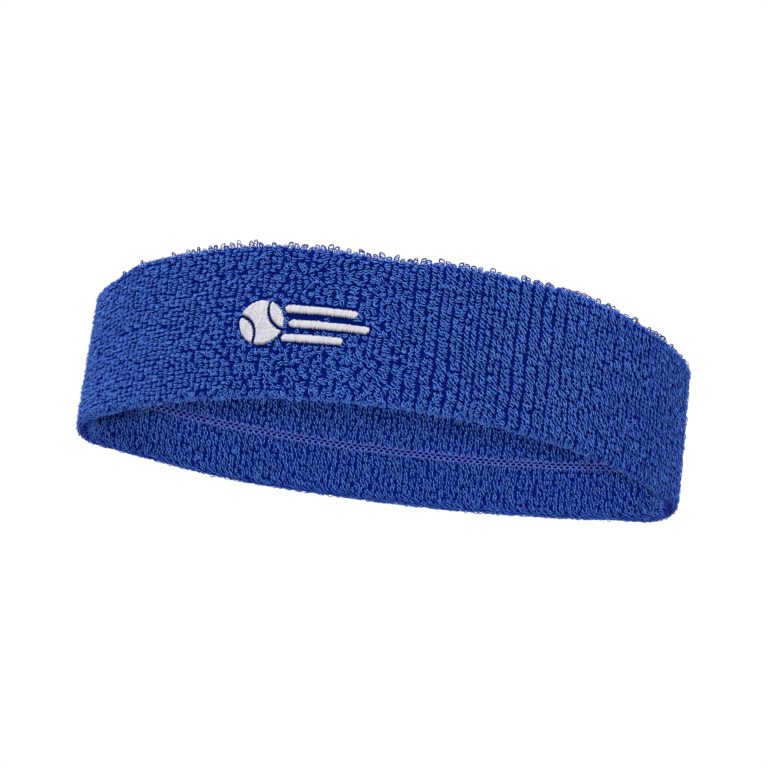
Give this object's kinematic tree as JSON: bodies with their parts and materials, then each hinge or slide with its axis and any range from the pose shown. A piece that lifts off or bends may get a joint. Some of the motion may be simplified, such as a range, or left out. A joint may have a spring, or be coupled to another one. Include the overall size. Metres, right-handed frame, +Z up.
{
  "type": "sports headband",
  "caption": "Double-walled terry sweatband for the head, a stretchy knitted ring folded at both edges, with a flat inner seam and a small embroidered mark.",
  "frame": {"origin": "middle of the open band's box, on the surface that its lower fold rests on", "axes": "+Z up as worn, X along the open band's long way, and the front, which carries the mark left of its middle, at -Y"},
  "size_m": [0.196, 0.098, 0.05],
  "materials": {
    "terry_blue": "matte",
    "ground_blue": "matte",
    "elastic": "matte",
    "seam_violet": "satin",
    "thread_white": "satin",
    "backing": "matte"
  },
  "bodies": {
    "root": {"terry_pile": "terry_blue", "ground_knit": "ground_blue", "elastic_yarns_outer_wall": "elastic", "elastic_yarns_inner_wall": "elastic", "seam_needle_thread_upper": "seam_violet", "seam_needle_thread_lower": "seam_violet", "seam_looper_thread": "seam_violet", "embroidery_top_thread": "thread_white", "embroidery_bobbin_thread": "thread_white", "embroidery_backing": "backing"}
  },
  "joints": []
}
